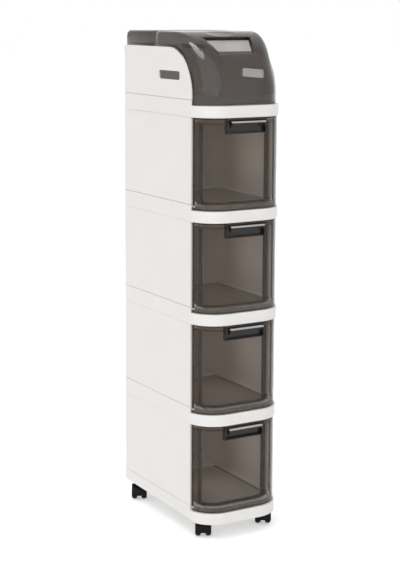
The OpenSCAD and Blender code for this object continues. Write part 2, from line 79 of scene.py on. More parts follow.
# Points of the frame that the pieces are drawn from
TIERS = (1, 2, 3, 4)
TOWER_D = depths("base_frame")[1]
TIER_PITCH = heights("shelf_frame_2")[0]
LUG_FOOT, BIN_TOP = heights("drawer_bin_1")
FRONT_FOOT, FRONT_TOP = heights("drawer_front_1")
LID_FOOT, LID_TOP = heights("flip_cover")
LID_BACK = depths("rear_lid")[1]
BOX_TOP = heights("top_left_panel")[1]

# Fixed lengths in millimetres and angles in degrees
PAST = 1.0  # how far a cutter goes past what it cuts
LAP = 0.2  # how deep an added form sits in the one that carries it
BIN_Z, BIN_REAR_R = 37.0, 8.0
SKID_X, SKID_W, SKID_BOTTOM, SKID_FROM, SKID_END = 83.0, 4.0, 36.1, 9.0, 4.0
LUG_HALF, LUG_FROM = 25.0, 8.0
WEB_T = 2.0
LIP_GAP = 1.2  # between a lip and the drawer's front above it
BAND_CUT = 6.0  # how far in the bands' front corners are cut back
BOX_ARC = 101.0  # radius of the top box's front corner in the solids
SKIRT = 10.0  # how far the lid reaches down over the top box
GRIP_LOW, GRIP_HIGH = 40.0, 66.0  # angles on the cover's arc where the finger recess lies
RIM_FROM = 48  # angle on the top box's arc from which the cover's rim is shown
RIM_GAP, RIM_LAP = 0.3, 1.5  # from the rim to the panel's edge, and into the lid's side
RIM_BACK, RIM_SPREAD = 1.4, 30.0  # inside the lip's outline, and how fast the rim widens
FOOT_SHADE_GAP, FOOT_SHADE_SHORT = 0.1, 0.4  # from the sheet of painted shade behind a front's foot to its front, and to the ends
SHADE_LINE_END, SHADE_LINE_LEVEL = 0.9, 1.4  # from a front's ends, and its top and foot, to its line of painted gap shadow
HOOD_IN = 0.8  # how far the hood's bowed front stays behind the solid's
HINGE_R, HINGE_GAP = 3.6, 0.4
SEAM_GAP = 0.3
DISH_AT, DISH_SPREAD, DISH_HALF = 77.0, 9.0, 34.0

# Fineness of the meshes: metres, steps and degrees
WELD, SLIVER = 2e-6, 1e-6
CORNER_STEPS, REAR_STEPS, LATHE_STEPS = 20, 6, 48
FLAT_ANGLE, SMOOTH_ANGLE, EDGE_ANGLE = 0.6, 34.0, 38.0


# ---- sizes and colours a user would change ----


def length(name, about, value):
    """A length in millimetres."""
    return FloatProperty(name=name, description=about, default=value, min=0.0)


def tint(name, what, value):
    """A linear colour of some part."""
    return FloatVectorProperty(name=name, description="Colour of " + what, default=value,
                               subtype="COLOR", size=3, min=0.0, max=1.0)


class TowerSizes(bpy.types.PropertyGroup):
    """Sizes of the dressed pieces, in millimetres"""

    moulded_edge: length("Moulded edge", "Rounding of the white mouldings' edges", 0.7)
    corner_r: length("Front corner", "Plan radius of the tower's front corners", 66.0)
    rear_r: length("Rear corner", "Plan radius of the tower's rear corners", 10.0)
    shield_inset: length("Front set-back", "How far a drawer's front lies behind the lip", 2.7)
    shield_t: length("Front wall", "Thickness of a drawer's curved front", 2.5)
    shield_back: length("Front wrap", "How far a drawer's front reaches round the corners", 54.5)
    web_angle: FloatProperty(
        name="Web angle", description="Where a front's webs stand, from its side", default=17.0
    )
    web_near: length("Web near edge", "How far a front's webs start behind the lip", 19.0)
    web_far: length("Web far edge", "How far a front's webs end behind the lip", 30.0)
    pull_half: length("Pull half width", "Half the width of the window for the pull", 50.15)
    pull_h: length("Pull height", "Height of the window for the pull", 33.15)
    hood_half: length("Hood half width", "Half the width of the hood over a pull", 44.0)
    hood_h: length("Hood height", "Height of the hood over a pull", 9.0)
    bin_inset: length("Bin set-back", "From the lip to the bin", 15.0)
    bin_back: length("Bin back", "From the lip to the bin's rear face", 272.0)
    bin_wall: length("Bin wall", "Wall of a bin", 2.0)
    bin_mouth: length("Bin mouth", "How far the open front goes round the corners", 50.0)
    bin_bar: length("Bin bar", "Height of the bar over the bin's open front", 5.0)
    bin_foot_r: length("Bin foot", "Rounding between a bin's walls and floor", 7.0)
    cover_half: length("Cover half width", "Half the width of the flip cover", 105.6)
    cover_front: length("Cover front", "From the lip to the cover's front", 11.0)
    cover_r: length("Cover arc", "Radius of the cover's curved front", 138.0)
    cover_wall: length("Cover wall", "Wall of the flip cover", 2.4)
    cover_corner_r: length("Cover corner", "Radius of the cover's front corners at its foot", 62.0)
    cover_edge_r: length("Cover edge", "Radius of the cover's long edges on top", 9.0)
    grip_half: length("Grip half width", "Half the width of the recess at its upper end", 63.0)
    grip_low_half: length("Grip foot", "Half the width of the recess at its lower end", 41.0)
    grip_d: length("Grip depth", "Depth of the cover's finger recess", 8.0)
    dish_d: length("Dish depth", "Depth of the dish behind the finger recess", 2.4)
    rim_h: length("Rim", "Height of the lid's rim on the panels", 4.3)
    panel_front: length("Panel front", "From the lip to the side panels in the solids", 48.0)
    panel_edge: length("Panel edge", "From the lip to the side panels as they are seen", 55.5)
    seam_y: length("Seam", "From the lip to the seam in the top", 217.0)
    caster_yaw: FloatProperty(name="Caster angle", description="Front casters' turn", default=-30.0)
    wheel_w: length("Wheel width", "Width of one wheel", 13.0)
    spokes: IntProperty(name="Spokes", description="Ribs on a wheel's face", default=10, min=3)
    knuckle_n: IntProperty(name="Knuckles", description="Parts of the hinge", default=5, min=3)


class TowerColours(bpy.types.PropertyGroup):
    """Colours of the finishes"""

    white: tint("White", "the white mouldings", (0.80, 0.785, 0.765))
    smoke: tint("Smoke", "the smoky fronts", (0.085, 0.062, 0.045))
    bin_smoke: tint("Bin smoke", "the smoky bins", (0.11, 0.094, 0.08))
    # Web and shade: the dense smoky webs, and also the painted shadow of the gaps round each front
    # and the painted shade on the recess's step
    web_dark: tint("Web", "the dense smoky webs", (0.012, 0.009, 0.007))
    # Foot shade tint: colour of a smoky sheet behind each front's foot, which paints the shade
    # under the bin's floor
    foot_shade_tint: tint("Foot smoke", "the lining along a front's foot", (0.17, 0.148, 0.13))
    cover_smoke: tint("Cover smoke", "the smoky cover", (0.05, 0.036, 0.027))
    # Painted gleam: pale colour that paints the highlight on the hoods' tops and the reflection on
    # the finger recess's floor
    painted_gleam: tint("Frosted grip", "the frosted floor of the cover's recess", (0.42, 0.4, 0.385))
    pull_dark: tint("Pull", "the dark pulls", (0.014, 0.012, 0.013))
    caster_black: tint("Caster", "the casters", (0.006, 0.006, 0.0055))
    steel: tint("Steel", "the steel pins", (0.62, 0.62, 0.63))


def sizes():
    return bpy.context.scene.tower_sizes


def colours():
    return bpy.context.scene.tower_colours


# ---- finishes ----


def new_material(name):
    """A material with a Principled shader; gives the material, its nodes, links and shader."""
    made = bpy.data.materials.new(name)
    made.use_nodes = True
    nodes, links = made.node_tree.nodes, made.node_tree.links
    return made, nodes, links, nodes["Principled BSDF"]


def put(node, **values):
    """Sets inputs of a shader node, with _ for each space in their names."""
    for label, value in values.items():
        node.inputs[label.replace("_", " ")].default_value = value


def mottled(nodes, links, shader, colour, scale, spread):
    """Varies the base colour a little with a soft noise; gives the coordinates it used."""
    coords = nodes.new("ShaderNodeTexCoord").outputs["Object"]
    noise = nodes.new("ShaderNodeTexNoise")
    put(noise, Scale=scale, Detail=3.0)
    links.new(coords, noise.inputs["Vector"])
    ramp = nodes.new("ShaderNodeValToRGB")
    low, high = ramp.color_ramp.elements
    low.position, high.position = 0.3, 0.7
    low.color = [c * (1 - spread) for c in colour] + [1]
    high.color = [min(1.0, c * (1 + spread)) for c in colour] + [1]
    links.new(noise.outputs["Fac"], ramp.inputs["Fac"])
    links.new(ramp.outputs["Color"], shader.inputs["Base Color"])
    return coords


def grained(nodes, links, shader, coords, scale, depth, rough, rough_spread):
    """Adds a fine moulded grain: a bump, and a roughness that changes with it."""
    grain = nodes.new("ShaderNodeTexNoise")
    put(grain, Scale=scale, Detail=4.0)
    links.new(coords, grain.inputs["Vector"])
    bump = nodes.new("ShaderNodeBump")
    put(bump, Strength=0.35, Distance=depth)
    links.new(grain.outputs["Fac"], bump.inputs["Height"])
    links.new(bump.outputs["Normal"], shader.inputs["Normal"])
    span = nodes.new("ShaderNodeMapRange")
    put(span, To_Min=rough - rough_spread, To_Max=rough + rough_spread)
    links.new(grain.outputs["Fac"], span.inputs["Value"])
    links.new(span.outputs["Result"], shader.inputs["Roughness"])


def moulded(name, colour, scale, spread, grain, depth, rough, rough_spread, **more):
    """Solid material: a mottled colour, a fine grain and what else its shader is given."""
    made, nodes, links, shader = new_material(name)
    coords = mottled(nodes, links, shader, colour, scale, spread)
    grained(nodes, links, shader, coords, grain, depth, rough, rough_spread)
    put(shader, **more)
    return made


def dark_moulding(name, colour, rough, gloss=0.5):
    """Solid plastic in a dark colour."""
    return moulded(name, colour, 22.0, 0.12, 1300.0, 0.00003, rough, 0.06,
                   Specular_IOR_Level=gloss)


def smoky(name, colour, low, high, turn):
    """Half see-through plastic that closes up where it is seen along its wall."""
    made, nodes, links, shader = new_material(name)
    mottled(nodes, links, shader, colour, 6.0, 0.06)
    facing = nodes.new("ShaderNodeLayerWeight")
    put(facing, Blend=0.5)
    span = nodes.new("ShaderNodeMapRange")
    put(span, From_Min=turn[0], From_Max=turn[1], To_Min=low, To_Max=high)
    links.new(facing.outputs["Facing"], span.inputs["Value"])
    links.new(span.outputs["Result"], shader.inputs["Alpha"])
    put(shader, Roughness=0.07, IOR=1.5)
    return made


FINISHES = {}


def finish_of(name):
    """The named finish, made when it is first asked for."""
    if name not in FINISHES:
        c = colours()
        makers = {
            "white": lambda: moulded("white_moulding", c.white, 9.0, 0.012, 900.0, 0.00003,
                                     0.36, 0.05, IOR=1.5),
            "smoke": lambda: smoky("smoky_front", c.smoke, 0.16, 0.54, (0.45, 0.97)),
            "bin": lambda: smoky("smoky_bin", c.bin_smoke, 0.08, 0.97, (0.6, 0.9)),
            # dense webs, and painted shade of the gaps round the fronts and of the recess's step
            "web": lambda: dark_moulding("dark_web", c.web_dark, 0.25, 0.3),
            # painted shade: the smoky sheet behind a front's foot
            "foot": lambda: smoky("smoky_foot_painted_shade", c.foot_shade_tint, 0.72, 0.97, (0.2, 0.9)),
            "cover": lambda: smoky("smoky_cover", c.cover_smoke, 0.48, 0.96, (0.15, 0.95)),
            # painted highlight on the hoods and painted reflection on the recess's floor
            "painted_gleam": lambda: dark_moulding("painted_gleam_plastic", c.painted_gleam, 0.45),
            "pull": lambda: dark_moulding("dark_pull", c.pull_dark, 0.22, 0.4),
            "caster": lambda: dark_moulding("black_caster", c.caster_black, 0.5, 0.12),
            "steel": lambda: moulded("brushed_steel", c.steel, 40.0, 0.05, 800.0, 0.00002,
                                     0.3, 0.06, Metallic=1.0),
        }
        FINISHES[name] = makers[name]()
    return FINISHES[name]


# ---- drawing meshes ----


def place(x, y, z):
    """A point in tower millimetres, in metres in the part's frame."""
    return Vector((x * MM, FRONT_Y + y * MM, BASE_Z + z * MM))


class Mould:
    """Collects rings of points and the faces between them."""

    def __init__(self):
        self.points, self.faces = [], []

    def ring(self, points):
        start = len(self.points)
        self.points += [place(*p) for p in points]
        return list(range(start, len(self.points)))

    def skin(self, a, b, closed=True):
        n = len(a)
        for i in range(n if closed else n - 1):
            j = (i + 1) % n
            self.faces.append((a[i], a[j], b[j], b[i]))

    def loft(self, rings, closed=True, capped=True):
        made = [self.ring(r) for r in rings]
        for a, b in zip(made, made[1:]):
            self.skin(a, b, closed)
        if capped:
            self.faces += [tuple(made[0]), tuple(made[-1])]
        return made

    def block(self, x0, x1, y0, y1, z0, z1):
        """A plain bar or plate with square edges, for what is hidden inside."""
        low = [(x0, y0, z0), (x1, y0, z0), (x1, y1, z0), (x0, y1, z0)]
        self.loft([low, [(x, y, z1) for x, y, _ in low]])

    def bar(self, side_view, x0, x1):
        """A bar that runs across, from its side view of (y, z) points."""
        self.loft([[(x, y, z) for y, z in side_view] for x in (x0, x1)])

    def mesh(self, name):
        made = bpy.data.meshes.new(name)
        bm = bmesh.new()
        spots = [bm.verts.new(p) for p in self.points]
        for f in self.faces:
            bm.faces.new([spots[i] for i in f])
        bmesh.ops.remove_doubles(bm, verts=bm.verts, dist=WELD)
        bmesh.ops.dissolve_degenerate(bm, edges=bm.edges, dist=SLIVER)
        bmesh.ops.recalc_face_normals(bm, faces=bm.faces)
        bm.to_mesh(made)
        bm.free()
        return made


def outline(half, front, back, front_r, back_r):
    """Rounded outline from above, counter-clockwise from the front's middle: (x, y, nx, ny)."""
    right = [(0.0, front, 0.0, -1.0)]
    for at_y, r, start, n in (
        (front + front_r, front_r, -90.0, CORNER_STEPS),
        (back - back_r, back_r, 0.0, REAR_STEPS),
    ):
        for k in range(n + 1):
            a = math.radians(start + 90.0 * k / n)
            nx, ny = math.cos(a), math.sin(a)
            right.append((half - r + r * nx, at_y + r * ny, nx, ny))
    right.append((0.0, back, 0.0, 1.0))
    return right + [(-x, y, -nx, ny) for x, y, nx, ny in reversed(right[1:-1])]


def tower_outline():
    """The stack's outline, along its lips and bands."""
    s = sizes()
    return outline(HALF_W, 0.0, TOWER_D, s.corner_r, s.rear_r)


def front_part(path, end):
    """The stretch of an outline that lies in front of a depth, from left to right."""
    n = len(path) // 2
    right = [path[0]]
    for a, b in zip(path[: n + 1], path[1 : n + 1]):
        if b[1] <= end:
            right.append(b)
        else:
            share = (end - a[1]) / (b[1] - a[1])
            right.append(tuple(p + (q - p) * share for p, q in zip(a, b)))
            break
    return [(-x, y, -nx, ny) for x, y, nx, ny in reversed(right[1:])] + right


def sweep(mould, path, profile):
    """Carries a closed profile of (inset, height) points along an outline."""
    mould.loft([
        [(x - nx * inset, y - ny * inset, z) for inset, z in profile] for x, y, nx, ny in path
    ])


def turned(mould, centre, axis, profile):
    """A lathe-turned form: profile of (along the axis, radius) points, closed over the axis."""
    axis = Vector(axis).normalized()
    side = axis.orthogonal().normalized()
    other = axis.cross(side)
    c = Vector(centre)
    turns = [2 * math.pi * k / LATHE_STEPS for k in range(LATHE_STEPS)]
    mould.loft([
        [tuple(c + axis * along + (side * math.cos(a) + other * math.sin(a)) * r) for a in turns]
        for along, r in profile
    ])


def cut_with(obj, cutter):
    """Cuts a mould's form out of a piece."""
    tool = bpy.data.objects.new("cutter", cutter.mesh("cutter"))
    bpy.context.scene.collection.objects.link(tool)
    cut = obj.modifiers.new("cut", "BOOLEAN")
    cut.operation = "DIFFERENCE"
    cut.solver = "EXACT"
    cut.object = tool
    applied(obj)
    bpy.data.objects.remove(tool)


def applied(obj):
    """Puts an object's modifiers into its mesh."""
    bpy.context.view_layer.update()
    shown = obj.evaluated_get(bpy.context.evaluated_depsgraph_get())
    made = bpy.data.meshes.new_from_object(shown)
    obj.modifiers.clear()
    obj.data = made


def soft_edges(obj, width, segments):
    """Rounds the sharp edges of a piece."""
    bevel = obj.modifiers.new("edges", "BEVEL")
    bevel.width = width * MM
    bevel.segments = segments
    bevel.limit_method = "ANGLE"
    bevel.angle_limit = math.radians(EDGE_ANGLE)
    bevel.use_clamp_overlap = True
    bevel.harden_normals = True
    applied(obj)


def smooth(mesh):
    """Smooth shading, but for the sharp edges."""
    sharp = math.radians(SMOOTH_ANGLE)
    bm = bmesh.new()
    bm.from_mesh(mesh)
    for f in bm.faces:
        f.smooth = True
    for e in bm.edges:
        e.smooth = len(e.link_faces) == 2 and e.calc_face_angle(0.0) < sharp
    bm.to_mesh(mesh)
    bm.free()


def walled(obj, wall):
    """Gives a skin its wall, on the inside."""
    solid = obj.modifiers.new("wall", "SOLIDIFY")
    solid.thickness = wall * MM
    solid.offset = -1.0
    solid.use_even_offset = True
    applied(obj)


def joined(obj, more):
    """Adds a mould's form, or a mesh, to a piece's mesh."""
    bm = bmesh.new()
    bm.from_mesh(obj.data)
    bm.from_mesh(more.mesh("more") if isinstance(more, Mould) else more)
    bm.to_mesh(obj.data)
    bm.free()


# ---- trees for what repeats ----


def new_tree(name, **inputs):
    """A geometry tree with named inputs; gives the tree, its inputs and a maker of nodes."""
    tree = bpy.data.node_groups.new(name, "GeometryNodeTree")
    for label, kind in inputs.items():
        tree.interface.new_socket(label, in_out="INPUT", socket_type="NodeSocket" + kind)
    tree.interface.new_socket("Geometry", in_out="OUTPUT", socket_type="NodeSocketGeometry")
    given = tree.nodes.new("NodeGroupInput")

    def node(kind, **links):
        made = tree.nodes.new(kind)
        for socket, value in links.items():
            target = made.inputs[int(socket[1:]) if socket[1:].isdigit() else socket]
            if isinstance(value, bpy.types.NodeSocket):
                tree.links.new(value, target)
            else:
                target.default_value = value
        return made

    return tree, given.outputs, node


def end_tree(tree, node, points, instance, turn, finish):
    """Puts an instance on each point, makes it real, gives it its finish and ends the tree."""
    placed = node("GeometryNodeInstanceOnPoints", Points=points, Instance=instance, Rotation=turn)
    real = node("GeometryNodeRealizeInstances", Geometry=placed.outputs[0])
    done = node("GeometryNodeSetMaterial", Geometry=real.outputs[0], Material=finish)
    tree.links.new(done.outputs[0], tree.nodes.new("NodeGroupOutput").inputs[0])
    return tree


def row_tree():
    """A row of barrels along X, centred on the origin."""
    tree, given, node = new_tree(
        "row_of_barrels", Count="Int", Pitch="Float", Length="Float", Radius="Float",
        Finish="Material",
    )
    step = node("ShaderNodeCombineXYZ", X=given["Pitch"])
    line = node("GeometryNodeMeshLine", Count=given["Count"], Offset=step.outputs[0])
    barrel = node(
        "GeometryNodeMeshCylinder", Vertices=28, Radius=given["Radius"], Depth=given["Length"]
    )
    lying = (0.0, math.pi / 2, 0.0)
    return end_tree(tree, node, line.outputs[0], barrel.outputs[0], lying, given["Finish"])


def ring_tree():
    """Ribs round the X axis, like a wheel's spokes."""
    tree, given, node = new_tree(
        "ring_of_ribs", Count="Int", Reach="Float", Across="Float", Thickness="Float",
        Width="Float", Finish="Material",
    )
    line = node("GeometryNodeMeshLine", Count=given["Count"], Offset=(0.0, 0.0, 0.0))
    size = node("ShaderNodeCombineXYZ", X=given["Thickness"], Y=given["Width"], Z=given["Across"])
    rib = node("GeometryNodeMeshCube", Size=size.outputs[0])
    away = node("ShaderNodeCombineXYZ", Z=given["Reach"])
    moved = node("GeometryNodeTransform", Geometry=rib.outputs[0], Translation=away.outputs[0])
    share = node("ShaderNodeMath", _0=math.tau, _1=given["Count"])
    share.operation = "DIVIDE"
    index = node("GeometryNodeInputIndex")
    angle = node("ShaderNodeMath", _0=index.outputs[0], _1=share.outputs[0])
    angle.operation = "MULTIPLY"
    turn = node("ShaderNodeCombineXYZ", X=angle.outputs[0])
    return end_tree(tree, node, line.outputs[0], moved.outputs[0], turn.outputs[0], given["Finish"])


def grown(tree, where, **inputs):
    """What a tree makes from its inputs, as a plain mesh, moved to its place."""
    holder = bpy.data.objects.new("holder", bpy.data.meshes.new("holder"))
    bpy.context.scene.collection.objects.link(holder)
    made = holder.modifiers.new("tree", "NODES")
    made.node_group = tree
    for item in tree.interface.items_tree:
        if item.in_out == "INPUT":
            made[item.identifier] = inputs[item.name]
    applied(holder)
    mesh = holder.data
    bpy.data.objects.remove(holder)
    mesh.transform(where)
    return mesh


def body_of(node):
    """The body that a node moves with."""
    bodies = frame["record"]["behaviour"]["bodies"]
    return next(b for b, members in bodies.items() if node in members)


def piece(name, form, finish, node, edge=0.0, segments=2, cutters=(), wall=0.0, more=None,
          stands=True):
    """Makes a piece of a mould or a mesh: wall, cuts, added forms, material, shading, edges.
    It rides with a node's body and, unless told not to, stands for it by hiding it."""
    mesh = form.mesh(name) if isinstance(form, Mould) else form
    obj = bpy.data.objects.new(name, mesh)
    bpy.context.scene.collection.objects.link(obj)
    if wall:
        walled(obj, wall)
    for cutter in cutters:
        cut_with(obj, cutter)
    if more:
        joined(obj, more)
    mesh = obj.data
    mesh.materials.clear()
    mesh.materials.append(finish_of(finish))
    smooth(mesh)
    if edge:
        soft_edges(obj, edge, segments)
    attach(obj, body_of(node))
    if stands:
        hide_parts(node)
    return obj


def merged_copy(node):
    """A copy of a node's mesh with its loose triangles joined and its flat faces whole."""
    bm = bmesh.new()
    bm.from_mesh(frame["nodes"][node].data)
    bmesh.ops.remove_doubles(bm, verts=bm.verts, dist=WELD)
    bmesh.ops.dissolve_limit(bm, angle_limit=math.radians(FLAT_ANGLE), verts=bm.verts,
                             edges=bm.edges, use_dissolve_boundaries=False)
    made = bpy.data.meshes.new(node)
    bm.to_mesh(made)
    bm.free()
    return made


def eased(node, finish, edge, cutters=()):
    """Stands for a node: the same form with moulded, rounded edges."""
    piece(node + "_form", merged_copy(node), finish, node, edge, cutters=cutters)


def box_edge(angle, grow):
    """A point (y, z) on the top box's front edge as it is seen, or outside it by a distance.
    It is an ellipse: the solids' arc, with its foot moved back to the panels' seen edge."""
    s, t = sizes(), math.radians(angle)
    mid_y, mid_z = s.panel_front + BOX_ARC, BOX_TOP - BOX_ARC
    y = mid_y - (mid_y - s.panel_edge + grow) * math.cos(t)
    return y, mid_z + (BOX_ARC + grow) * math.sin(t)


# ---- pieces ----


def tier_z(i):
    """Height of a tier's lip bottom."""
    return (i - 1) * TIER_PITCH


class TOWER_OT_frames(bpy.types.Operator):
    """White frames of the stack: base, shelves and top tray"""

    bl_idname = "tower.frames"
    bl_label = "Frames"

    def execute(self, context):
        s = sizes()
        nodes = ["base_frame"] + [f"shelf_frame_{i}" for i in TIERS[1:]] + ["top_tray"]
        for i, node in enumerate(nodes, 1):
            low, high = tier_z(i) + (FRONT_FOOT - LIP_GAP), tier_z(i) + BIN_Z + PAST
            corners = Mould()
            for side in (-1, 1):
                x = sorted((side * (HALF_W - BAND_CUT), side * (HALF_W + PAST)))
                corners.block(*x, s.panel_front - PAST, s.panel_edge, low, high)
            eased(node, "white", s.moulded_edge, [corners])
        return {"FINISHED"}


class TOWER_OT_panels(bpy.types.Operator):
    """White side and back panels of the tiers and of the top box"""

    bl_idname = "tower.panels"
    bl_label = "Panels"

    def execute(self, context):
        s = sizes()
        wide = HALF_W + PAST
        straight, curved = Mould(), Mould()
        straight.block(-wide, wide, 0, s.panel_edge, 0, BOX_TOP)
        edge = [box_edge(a, 0.0) for a in range(0, 85, 4)]
        over, under = BOX_TOP + 9, LID_FOOT - 60
        edge += [(edge[-1][0] - 5, over), (0.0, over), (0.0, under), (s.panel_edge, under)]
        curved.bar(edge, -wide, wide)
        for side in ("left", "right", "back"):
            cuts = ([], []) if side == "back" else ([straight], [curved])
            for i in TIERS:
                eased(f"{side}_panel_{i}", "white", s.moulded_edge, cuts[0])
            eased(f"top_{side}_panel", "white", s.moulded_edge, cuts[1])
        return {"FINISHED"}


def bin_mould(z):
    """Open bin with a rounded foot, and the skids and stop lug under its floor."""
    s = sizes()
    top, wall, foot = z + BIN_TOP, s.bin_wall, s.bin_foot_r
    floor, inner = z + BIN_Z, foot - wall

    def ring(inset, height):
        half, front, back = HALF_W - s.bin_inset - inset, s.bin_inset + inset, s.bin_back - inset
        front_r, back_r = s.corner_r - s.bin_inset - inset, max(1.0, BIN_REAR_R - inset)
        return [(x, y, height) for x, y, _, _ in outline(half, front, back, front_r, back_r)]

    turns = [math.radians(90.0 * k / 6) for k in range(7)]
    rings = [ring(foot * (1 - math.sin(a)), floor + foot * (1 - math.cos(a))) for a in turns]
    rings += [ring(0.0, top), ring(wall, top)]
    rings += [
        ring(wall + inner * (1 - math.sin(a)), floor + wall + inner * (1 - math.cos(a)))
        for a in reversed(turns)
    ]
    mould = Mould()
    mould.loft(rings)
    end = s.bin_back - SKID_END
    for side in (-1, 1):
        x = side * SKID_X
        mould.block(x - SKID_W / 2, x + SKID_W / 2, s.bin_inset + SKID_FROM, end,
                    z + SKID_BOTTOM, floor + LAP)
    mould.block(-LUG_HALF, LUG_HALF, s.bin_back - LUG_FROM, end, z + LUG_FOOT, floor + LAP)
    return mould


class TOWER_OT_bins(bpy.types.Operator):
    """Smoky bins of the drawers"""

    bl_idname = "tower.bins"
    bl_label = "Bins"

    def execute(self, context):
        s = sizes()
        for i in TIERS:
            z, mouth = tier_z(i), Mould()
            mouth.block(-HALF_W, HALF_W, 0, s.bin_mouth,
                        z + BIN_Z + s.bin_foot_r, z + BIN_TOP - s.bin_bar)
            piece(f"bin_{i}", bin_mould(z), "bin", f"drawer_bin_{i}", 0.5, cutters=[mouth])
        return {"FINISHED"}


class TOWER_OT_fronts(bpy.types.Operator):
    """Smoky curved fronts of the drawers, with their pulls"""

    bl_idname = "tower.fronts"
    bl_label = "Fronts"

    def execute(self, context):
        s = sizes()
        back, bar_in, bar = s.shield_inset + s.shield_t, s.bin_inset - 0.3, BIN_TOP - WEB_T
        # Side view of a sheet of painted shade just behind the front's foot, reaching up to the
        # bin's floor
        near, far = back + FOOT_SHADE_GAP, back + WEB_T
        foot = [(near, FRONT_FOOT), (far, FRONT_FOOT), (far, BIN_Z), (near, BIN_Z)]
        wall = [(s.shield_inset, FRONT_TOP), (s.shield_inset, FRONT_FOOT), (back, FRONT_FOOT),
                (back, bar), (bar_in, bar), (bar_in, bar + WEB_T), (back, bar + WEB_T),
                (back, FRONT_TOP)]
        whole = front_part(tower_outline(), s.shield_back)
        short = front_part(tower_outline(), s.shield_back - FOOT_SHADE_SHORT)
        for i in TIERS:
            z, node, top = tier_z(i), f"drawer_front_{i}", tier_z(i) + FRONT_TOP
            shade_sheet, mould, window, webs = Mould(), Mould(), Mould(), Mould()
            # Smoky sheet behind the front's foot: painted shade under the bin
            sweep(shade_sheet, short, [(inset, z + h) for inset, h in foot])
            piece(f"front_foot_painted_shade_{i}", shade_sheet, "foot", node, stands=False)
            sweep(mould, whole, [(inset, z + h) for inset, h in wall])
            window.block(-s.pull_half, s.pull_half, -5, s.bin_inset + 5, top - s.pull_h, top + 5)
            piece(f"front_{i}", mould, "smoke", node, 0.6, cutters=[window])
            inner = self.half_u(self.run_at(90 - s.web_angle),
                                z + BIN_Z + s.bin_wall + WEB_T / 2, z + BIN_TOP - WEB_T, 10.0)
            self.band(webs, inner, s.web_near, s.web_far)
            # Closed dark frame just behind the front, along its ends, top and foot: painted shadow
            # of the gaps round the front, joined to the real webs
            turn = math.acos((s.corner_r - s.shield_back) / (s.corner_r - back))
            edge = self.half_u(self.run_at(math.degrees(turn)) - SHADE_LINE_END,
                               z + FRONT_FOOT + SHADE_LINE_LEVEL, top - SHADE_LINE_LEVEL, 2.0, True)
            self.band(webs, edge, back - 0.3, back + 3)
            piece(f"front_web_{i}", webs, "web", node, cutters=[window], stands=False)
            self.pull(i)
        return {"FINISHED"}

    def run_at(self, turn):
        """Run along the lip from its middle to where the corner has turned by an angle."""
        return HALF_W - sizes().corner_r + sizes().corner_r * math.radians(turn)

    def half_u(self, end, foot, top, r, closed=False):
        """Right half of a U, or of a closed frame, as (run along the lip, height)."""
        bends = [math.radians(a) for a in range(0, 91, 10)]
        half = [((end - r) * k / 24, foot) for k in range(24)]
        half += [(end - r + r * math.sin(a), foot + r - r * math.cos(a)) for a in bends]
        if closed:
            half += [(end - r + r * math.cos(a), top - r + r * math.sin(a)) for a in bends]
            half += [((end - r) * k / 24, top) for k in range(23, -1, -1)]
        else:
            half.append((end, top))
        return half

    def band(self, mould, half, near, far):
        """Strip that stands inwards from the lip's outline, between two distances, along a U."""
        r = sizes().corner_r
        flat = HALF_W - r
        closed = half[-1][0] == 0.0
        path = [(-run, h) for run, h in reversed(half[1:])][1 if closed else 0 :] + half
        n = len(path)
        rings = []
        for k, (run, h) in enumerate(path):
            a = path[k - 1 if closed else max(0, k - 1)]
            b = path[(k + 1) % n if closed else min(n - 1, k + 1)]
            step = Vector((b[0] - a[0], b[1] - a[1])).normalized() * WEB_T / 2
            ring = []
            for sign, inset in ((-1, near), (-1, far), (1, far), (1, near)):
                at_run, at_h = run - sign * step.y, h + sign * step.x
                turn = max(0.0, abs(at_run) - flat) / r
                x = min(abs(at_run), flat) + (r - inset) * math.sin(turn)
                ring.append((math.copysign(x, at_run), r - (r - inset) * math.cos(turn), at_h))
            rings.append(ring)
        made = mould.loft(rings, capped=not closed)
        if closed:
            mould.skin(made[-1], made[0])

    def pull(self, i):
        """Dark recess with a hood whose top falls towards the front."""
        s, node, wall = sizes(), f"drawer_pull_{i}", 2.0
        (front, back), (foot, top) = depths(node), heights(node)
        half, face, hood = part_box(node)[1].x / MM, s.shield_inset, s.hood_half
        front += HOOD_IN
        lip, crest, bow = top - s.hood_h - 3, top - 6.5, 6.0
        recess, hollow, hoods, hood_gleam_painted = Mould(), Mould(), Mould(), Mould()
        recess.block(-half, half, face, back, foot, top)
        hollow.block(-half + wall, half - wall, face - 9, back - wall, foot + wall, top - 5)

        def arc(r, *angles):
            turns = [math.radians(t) for t in range(*angles)]
            return [(front + bow - r * math.sin(t), crest - bow + r * math.cos(t)) for t in turns]

        upper = [(face + 1, top - 3)] + arc(bow, 0, 91, 15) + [(front, lip)]
        under = [(front + wall, lip), (front + wall, crest - bow), (front + bow, crest - 2)]
        hoods.bar(upper + under + [(face + 1, top - 5)], -hood, hood)
        for side in (-1, 1):
            ends = sorted((side * hood, side * (hood - wall)))
            hoods.bar(upper + [(face + 1, lip - 9)], *ends)
        # Pale strip on the hood's bowed top: painted highlight
        hood_gleam_painted.bar(arc(6.35, 10, 61, 10) + arc(5.8, 10, 61, 10)[::-1], -hood + 1, hood - 1)
        piece(f"hood_highlight_painted_{i}", hood_gleam_painted, "painted_gleam", node, stands=False)
        piece(f"pull_{i}", recess, "pull", node, 0.7, 3, cutters=[hollow], more=hoods)


def eased_step(t):
    """Goes from 0 to 1 with a level start and end."""
    t = min(1.0, max(0.0, t))
    return t * t * (3 - 2 * t)


